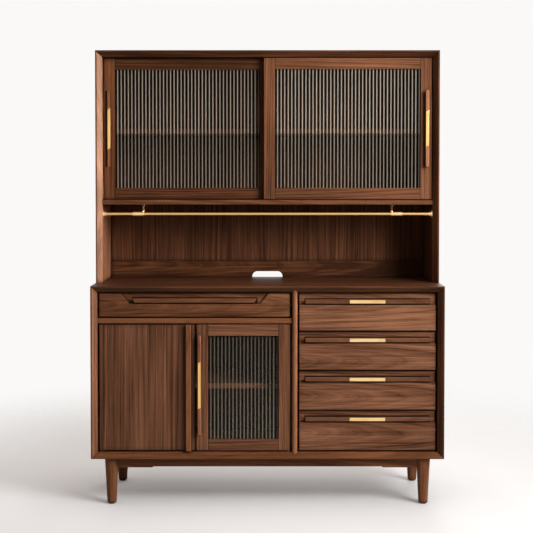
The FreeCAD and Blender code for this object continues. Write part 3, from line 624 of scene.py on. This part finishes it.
def reeded_glass(door, shelf, milky, clear, haze, rise, levels):
    """Reeded glass: each flute has a painted highlight on one side and painted shade of the inside on the
    other.

    milky and clear are how much those sides hide of what is behind, and haze blends their colours. rise is
    how much more the glass hides towards its top, and levels are the painted light above and below the shelf.
    The smooth back of the sheet hides next to nothing.
    """
    finish = bpy.context.scene.dresser_fittings
    glass = door + "_glass"
    bench = Bench("reeded_" + door)
    left, right = sight_opening(glass)
    pitch = (right - left) / round((right - left) / finish.flute_pitch)
    place = bench.add("ShaderNodeTexCoord", {}).outputs["Object"]
    axes = object_axes(bench)
    step = bench.math("FRACT", bench.math("DIVIDE", bench.math("SUBTRACT", axes["X"], left), pitch))
    line = bench.spread(bench.centred(step, LINE_AT), *LINE_FADE)
    drawn = bench.noise(place, *DRAWING)
    light = inside_light(bench, glass, shelf, levels)
    pale = bench.math("MULTIPLY", bench.spread(line, 0, 1, haze, 1 - haze), light)
    tint = bench.mix(pale, opaque(finish.flute_dark), opaque(finish.flute_pale))
    low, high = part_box(glass)
    smooth_back = bench.math("GREATER_THAN", axes["Y"], high.y - BACK_SKIN)
    cover = bench.spread(line, 0, 1, clear, milky)
    for share in (
            bench.vary(drawn, *DRAWN_COVER),
            bench.spread(axes["Z"], low.z, high.z, 1 - rise, 1 + rise),
            bench.spread(smooth_back, 0, 1, 1, BACK_COVER)):
        cover = bench.math("MULTIPLY", cover, share)
    return bench.finish(
        Base_Color=tint, Roughness=bench.vary(drawn, *GLASS_ROUGHNESS), Alpha=cover, IOR=GLASS_IOR,
        Specular_IOR_Level=GLASS_SHEEN)


# Glides: moulded grain and scuffs, where scuffs start and are full, their strength, and the grain's relief
MOULDING = ((900, 900, 900), 3)
SCUFFING = ((60, 60, 60), 4)
SCUFF_RANGE = (0.5, 0.8)
SCUFF_SHARE = 0.4
GLIDE_ROUGHNESS = (0.5, 0.68)
MOULD_DEPTH = 0.0001


def glide_pad(name):
    """Matt black plastic with a fine moulded grain."""
    finish = bpy.context.scene.dresser_fittings
    bench = Bench(name)
    place = bench.add("ShaderNodeTexCoord", {}).outputs["Object"]
    grain = bench.noise(place, *MOULDING)
    scuff = bench.spread(bench.noise(place, *SCUFFING), *SCUFF_RANGE, 0, SCUFF_SHARE)
    tint = bench.mix(scuff, opaque(finish.glide), opaque(finish.glide_scuff))
    return bench.finish(
        Base_Color=tint, Roughness=bench.vary(grain, *GLIDE_ROUGHNESS), Normal=bench.bump(grain, MOULD_DEPTH))


def dress(node, material):
    """Gives a node of the frame one finish all over."""
    mesh = NODES[node].data
    mesh.materials.clear()
    mesh.materials.append(material)


def sight_opening(glass):
    """Left and right ends of the fluted part of a sheet of glass, which fills its frame's opening."""
    margin = bpy.context.scene.dresser_fittings.glass_margin
    low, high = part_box(glass)
    return low.x + margin, high.x - margin


class DresserOperator(bpy.types.Operator):
    """Shared by the operators below."""

    bl_options = {"REGISTER", "UNDO"}


class DRESSER_OT_carcass(DresserOperator):
    """Walnut for the boards, backs, shelves and inner parts of the base and the hutch"""

    bl_idname = "dresser.carcass"
    bl_label = "Carcass"

    # Grain, tone, figure, warmth and width of the glued strips. The darker tones of the worktop, right sides,
    # hutch top, hutch back and backsplash are painted shade, and the lighter tones of the shelves painted
    # light
    boards = {
        "base_left_side": ("ZY", 0.03, 0.8, 0.1, 0.1), "base_right_side": ("ZY", -0.05, 0.8, 1, 0.1),
        "countertop": ("XY", -0.03, 0.7, 1, 0.12), "base_bottom": ("XY", -0.02, 0.6, 1, 0),
        "base_back": ("ZX", -0.02, 1, 0, 0.11), "centre_divider": ("ZY", 0.06, 0.5, 0.5, 0),
        "drawer_rail": ("XY", 0.04, 0.5, 1, 0), "base_shelf": ("XY", 0.1, 0.6, 0.5, 0),
        "hutch_left_side": ("ZY", 0.02, 0.7, 0, 0), "hutch_right_side": ("ZY", -0.065, 0.6, 1, 0),
        "hutch_top": ("XY", -0.065, 0.6, 1, 0), "hutch_floor": ("XY", 0.0, 0.6, 0.7, 0),
        "hutch_shelf": ("XY", 0.25, 0.6, 0.9, 0), "shelf_cleats": ("YZ", 0.0, 0.6, 1, 0),
        "hutch_back": ("ZX", -0.05, 0.65, 0.3, 0.09), "backsplash": ("XZ", -0.075, 0.7, 0.9, 0),
    }

    # What some boards have besides: top is painted shade on the upper faces of the worktop and the base
    # shelf, and the worktop's high edge is a painted highlight on its arris
    extras = {
        "countertop": {"top": -0.085, "crevice": 0.4, "edge": 0.8, "polish": 0.5},
        "hutch_left_side": {"polish": 0.75}, "base_left_side": {"polish": 0.6},
        "base_shelf": {"top": -0.16}}

    def execute(self, context):
        for seed, (node, (grain, tone, figure, warm, stave)) in enumerate(self.boards.items()):
            dress(node, walnut(node, grain, seed, tone, figure, warm, stave, **self.extras.get(node, {})))
        return {"FINISHED"}


class DRESSER_OT_stand(DresserOperator):
    """Walnut for the turned legs and aprons, and the pads under the feet"""

    bl_idname = "dresser.stand"
    bl_label = "Stand"

    first_seed = 40
    figure = 0.6
    warm = 0.8

    # Grain and tone
    boards = {
        "front_legs": ("ZX", 0.03), "rear_legs": ("ZX", 0.0), "front_apron": ("XZ", -0.005),
        "rear_apron": ("XZ", -0.02), "side_aprons": ("YZ", -0.02)}

    def execute(self, context):
        for seed, (node, (grain, tone)) in enumerate(self.boards.items()):
            dress(node, walnut(node, grain, self.first_seed + seed, tone, self.figure, self.warm))
        dress("foot_glides", glide_pad("glide_pad"))
        return {"FINISHED"}


class DRESSER_OT_drawers(DresserOperator):
    """Walnut fronts with level grain, and plain wood for the boxes and runners"""

    bl_idname = "dresser.drawers"
    bl_label = "Drawers"

    # Tones of the front and of the pull bar, figure and warmth of the front
    drawers = {
        "drawer_1": (0.055, 0.0, 0.95, 0.0), "drawer_2": (0.022, -0.01, 0.95, 0.0),
        "drawer_3": (0.022, -0.01, 0.95, 0.0), "drawer_4": (0.022, 0.0, 0.95, 0.0),
        "wide_drawer": (0.015, 0.01, 0.8, 0.6)}
    first_seed = 60
    seed_step = 3
    # Reach of the painted shade from inner corners, and the painted shade towards the fronts' rims
    front_crevice = 0.35
    front_rim = 0.14
    bar_figure = 0.5
    bar_crevice = 0.4

    # Plain wood: seed of the first box, then name, grain and seed of the other pieces
    first_box_seed = 7
    plain = {"drawer_runners": ("runners", "YX", 3), "hutch_dowels": ("dowels", "ZX", 5)}

    def execute(self, context):
        for i, (name, (tone, bar_tone, figure, warm)) in enumerate(self.drawers.items()):
            seed = self.first_seed + self.seed_step * i
            front, pull, box = (name + end for end in ("_front", "_pull", "_box"))
            dress(front, walnut(
                front, "XZ", seed, tone, figure, warm, crevice=self.front_crevice, bar=pull,
                rim=self.front_rim))
            dress(pull, walnut(
                pull, "XZ", seed + 1, bar_tone, self.bar_figure, warm / 2, crevice=self.bar_crevice))
            dress(box, drawer_wood(box, "YX", self.first_box_seed + i))
        for node, look in self.plain.items():
            dress(node, drawer_wood(*look))
        return {"FINISHED"}


class DRESSER_OT_doors(DresserOperator):
    """Walnut for the door panel, its batten, the glazed frames and the upright pulls"""

    bl_idname = "dresser.doors"
    bl_label = "Doors"

    # Seed, tone, figure and warmth of the solid door's pieces, and what else the panel has: its rim is
    # painted shade towards its outer edge
    solid = {"left_door_panel": (90, 0.01, 0.75, 0.0), "left_door_batten": (91, 0.05, 0.6, 0.7)}
    extras = {"left_door_panel": {"stave": 0.075, "rim": 0.25}}

    # Tone and warmth of a frame, what its stiles add to the tone, and the tone of its pull. The rear sliding
    # door's darker tone is painted shade
    frames = {
        "glass_door": (0.0, 0.1, 0.0, 0.08), "sliding_left": (-0.07, 0.9, 0.06, 0.16),
        "sliding_right": (-0.01, 0.4, 0.0, 0.17)}
    first_seed = 94
    seed_step = 2
    frame_figure = 0.7
    pull_figure = 0.6
    pull_crevice = 0.15

    def execute(self, context):
        for node, look in self.solid.items():
            dress(node, walnut(node, "ZX", *look, **self.extras.get(node, {})))
        for i, (door, (tone, warm, stile, pull_tone)) in enumerate(self.frames.items()):
            left, right = sight_opening(door + "_glass")
            opening = ((left + right) / 2, (right - left) / 2)
            seed = self.first_seed + self.seed_step * i
            frame_node, pull = door + "_frame", door + "_pull"
            dress(frame_node, walnut(
                frame_node, "XZ", seed, tone, self.frame_figure, warm, upright_beyond=opening, stile=stile))
            dress(pull, walnut(
                pull, "ZX", seed + 1, pull_tone, self.pull_figure, warm, crevice=self.pull_crevice))
        return {"FINISHED"}


class DRESSER_OT_glazing(DresserOperator):
    """Reeded glass in the three framed doors"""

    bl_idname = "dresser.glazing"
    bl_label = "Glazing"

    # Shelf behind the sheet, cover of the milky and the clear side, haze, rise and painted light levels
    sheets = {
        "glass_door": ("base_shelf", 0.5, 0.3, 0.14, -0.08, (1.0, 0.78, 0.74, 0.58)),
        "sliding_left": ("hutch_shelf", 0.8, 0.56, 0, 0.12, (0.79, 0.48, 0.97, 0.69)),
        "sliding_right": ("hutch_shelf", 0.82, 0.57, 0, 0.04, (0.57, 0.48, 0.9, 0.69))}

    def execute(self, context):
        for door, look in self.sheets.items():
            dress(door + "_glass", reeded_glass(door, *look))
        return {"FINISHED"}


class DRESSER_OT_fittings(DresserOperator):
    """Brass for the inlays and the hanging rail, steel for the pivot pins"""

    bl_idname = "dresser.fittings"
    bl_label = "Fittings"

    brass_roughness = 0.3
    steel_roughness = 0.35

    # Where the painted shadow on a hanger's post starts over the rail, and how far inside the rail's end it
    # stops
    post_start = 0.004
    post_inset = 0.04

    def execute(self, context):
        finish = context.scene.dresser_fittings
        brass = (finish.brass, finish.brass_shade)
        golden = (finish.golden_brass, finish.golden_shade)
        steel = (finish.steel, finish.steel_shade)
        level = metal("brass_level", *brass, "XZ", self.brass_roughness)
        upright = metal("brass_upright", *golden, "ZX", self.brass_roughness)
        for drawer in ("drawer_1", "drawer_2", "drawer_3", "drawer_4"):
            dress(drawer + "_inlay", level)
        for door in ("glass_door", "sliding_left", "sliding_right"):
            dress(door + "_inlay", upright)
        rail = metal("brass_rail", finish.brass_shade, finish.brass_shade, "XZ", self.brass_roughness)
        dress("hanging_rail", rail)
        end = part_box("hanging_rail")[1]
        posts = (finish.painted_post_shade, end.z + self.post_start, end.x - self.post_inset)
        dress("rail_brackets", metal("brass_brackets", *brass, "XZ", self.brass_roughness, posts))
        dress("door_pivots", metal("pin_steel", *steel, "ZX", self.steel_roughness))
        return {"FINISHED"}


def lamp(studio, name):
    """One of the studio's lamps, square and soft, which faces a point."""
    place, aim, size, power, spread = (
        getattr(studio, name + end) for end in ("_place", "_aim", "_size", "_power", "_spread"))
    light = bpy.data.lights.new(name + "_lamp", "AREA")
    light.shape = "SQUARE"
    light.size = size
    light.energy = power
    light.spread = spread
    light.color = studio.lamp_colour
    thing = bpy.data.objects.new(name + "_lamp", light)
    thing.location = place
    thing.rotation_mode = "QUATERNION"
    thing.rotation_quaternion = (Vector(aim) - Vector(place)).to_track_quat("-Z", "Y")
    bpy.context.scene.collection.objects.link(thing)


# Floor: sides of its outline, noise and strength of its marks, roughness and reflection
FLOOR_SIDES = 96
FLOOR_NOISE = ((9, 9, 9), 4)
FLOOR_MARKS = (0, 0.3)
FLOOR_ROUGHNESS = 0.6
FLOOR_SHEEN = 0.1


def studio_floor(studio):
    """A pale round floor that fades out into the backdrop."""
    mesh = bpy.data.meshes.new("studio_floor")
    shape = bmesh.new()
    bmesh.ops.create_circle(shape, cap_ends=True, radius=studio.floor_radius, segments=FLOOR_SIDES)
    shape.to_mesh(mesh)
    shape.free()
    thing = bpy.data.objects.new("studio_floor", mesh)
    bpy.context.scene.collection.objects.link(thing)
    bench = Bench("studio_floor")
    place = bench.add("ShaderNodeTexCoord", {}).outputs["Object"]
    far = bench.add("ShaderNodeVectorMath", {0: place}, operation="LENGTH").outputs["Value"]
    solid = studio.floor_radius * studio.floor_solid
    fade = bench.add(
        "ShaderNodeMapRange", {"Value": far, "From Min": studio.floor_radius, "From Max": solid},
        interpolation_type="SMOOTHSTEP")
    marks = bench.vary(bench.noise(place, *FLOOR_NOISE), *FLOOR_MARKS)
    tint = bench.mix(marks, opaque(studio.floor), opaque(studio.floor_marks))
    path = bench.add("ShaderNodeLightPath", {}).outputs
    seen = bench.math("MAXIMUM", path["Is Camera Ray"], path["Is Glossy Ray"])
    seen = bench.math("MAXIMUM", seen, path["Is Transmission Ray"])
    # The light added to the floor fades near the dresser, as a painted shadow round it
    reach = {"Distance": studio.floor_crevice}
    open_to_air = bench.add("ShaderNodeAmbientOcclusion", reach, samples=FLOOR_SAMPLES).outputs["AO"]
    glow = bench.math("MULTIPLY", bench.math("MULTIPLY", open_to_air, seen), studio.floor_glow)
    mesh.materials.append(bench.finish(
        Base_Color=tint, Roughness=FLOOR_ROUGHNESS, Specular_IOR_Level=FLOOR_SHEEN,
        Alpha=fade.outputs["Result"], Emission_Color=opaque(studio.floor_light), Emission_Strength=glow))


def studio_world(studio):
    """Soft light all round, and a white backdrop wherever it is seen, reflected or shows through glass."""
    world = bpy.data.worlds.new("studio")
    world.use_nodes = True
    tree = world.node_tree
    path = tree.nodes.new("ShaderNodeLightPath")
    seen = path.outputs["Is Camera Ray"]
    for name in ("Is Glossy Ray", "Is Transmission Ray"):
        either = tree.nodes.new("ShaderNodeMath")
        either.operation = "MAXIMUM"
        tree.links.new(seen, either.inputs[0])
        tree.links.new(path.outputs[name], either.inputs[1])
        seen = either.outputs[0]
    shade = tree.nodes.new("ShaderNodeMix")
    shade.data_type = "RGBA"
    tree.links.new(seen, shade.inputs["Factor"])
    shade.inputs["A"].default_value = opaque(studio.ambient)
    shade.inputs["B"].default_value = opaque(studio.backdrop)
    tree.links.new(shade.outputs["Result"], tree.nodes["Background"].inputs["Color"])
    bpy.context.scene.world = world


class DRESSER_OT_studio(DresserOperator):
    """A pale floor and backdrop, soft lamps and the camera"""

    bl_idname = "dresser.studio"
    bl_label = "Studio"

    def execute(self, context):
        studio = context.scene.dresser_studio
        context.scene.view_settings.view_transform = "Standard"
        studio_floor(studio)
        studio_world(studio)
        for name in ("key", "side", "back"):
            lamp(studio, name)
        camera = bpy.data.objects.new("camera", bpy.data.cameras.new("camera"))
        camera.data.lens = studio.lens
        camera.data.sensor_width = studio.sensor
        camera.data.shift_y = studio.rise
        camera.location = studio.camera_place
        camera.rotation_euler = (math.pi / 2 - studio.tilt, 0, 0)
        context.scene.collection.objects.link(camera)
        context.scene.camera = camera
        return {"FINISHED"}


OPERATORS = (
    DRESSER_OT_carcass, DRESSER_OT_stand, DRESSER_OT_drawers, DRESSER_OT_doors, DRESSER_OT_glazing,
    DRESSER_OT_fittings, DRESSER_OT_studio)
SETTINGS = {
    "dresser_walnut": WalnutFinish, "dresser_fittings": FittingFinish, "dresser_studio": StudioSettings}


class DRESSER_PT_panel(bpy.types.Panel):
    """Lists the steps that finish the dresser"""

    bl_label = "Dresser"
    bl_idname = "DRESSER_PT_panel"
    bl_space_type = "VIEW_3D"
    bl_region_type = "UI"
    bl_category = "Dresser"

    def draw(self, context):
        for operator in OPERATORS:
            self.layout.operator(operator.bl_idname)
        for name in SETTINGS:
            box = self.layout.box()
            group = getattr(context.scene, name)
            for key in group.bl_rna.properties.keys():
                if key not in ("rna_type", "name"):
                    box.prop(group, key)


def register():
    for group in SETTINGS.values():
        bpy.utils.register_class(group)
    for operator in OPERATORS:
        bpy.utils.register_class(operator)
    bpy.utils.register_class(DRESSER_PT_panel)
    for name, group in SETTINGS.items():
        setattr(bpy.types.Scene, name, PointerProperty(type=group))


def unregister():
    for name in SETTINGS:
        delattr(bpy.types.Scene, name)
    bpy.utils.unregister_class(DRESSER_PT_panel)
    for operator in reversed(OPERATORS):
        bpy.utils.unregister_class(operator)
    for group in reversed(SETTINGS.values()):
        bpy.utils.unregister_class(group)


def main():
    register()
    bpy.ops.dresser.carcass()
    bpy.ops.dresser.stand()
    bpy.ops.dresser.drawers()
    bpy.ops.dresser.doors()
    bpy.ops.dresser.glazing()
    bpy.ops.dresser.fittings()
    bpy.ops.dresser.studio()


if __name__ == "__main__":
    main()
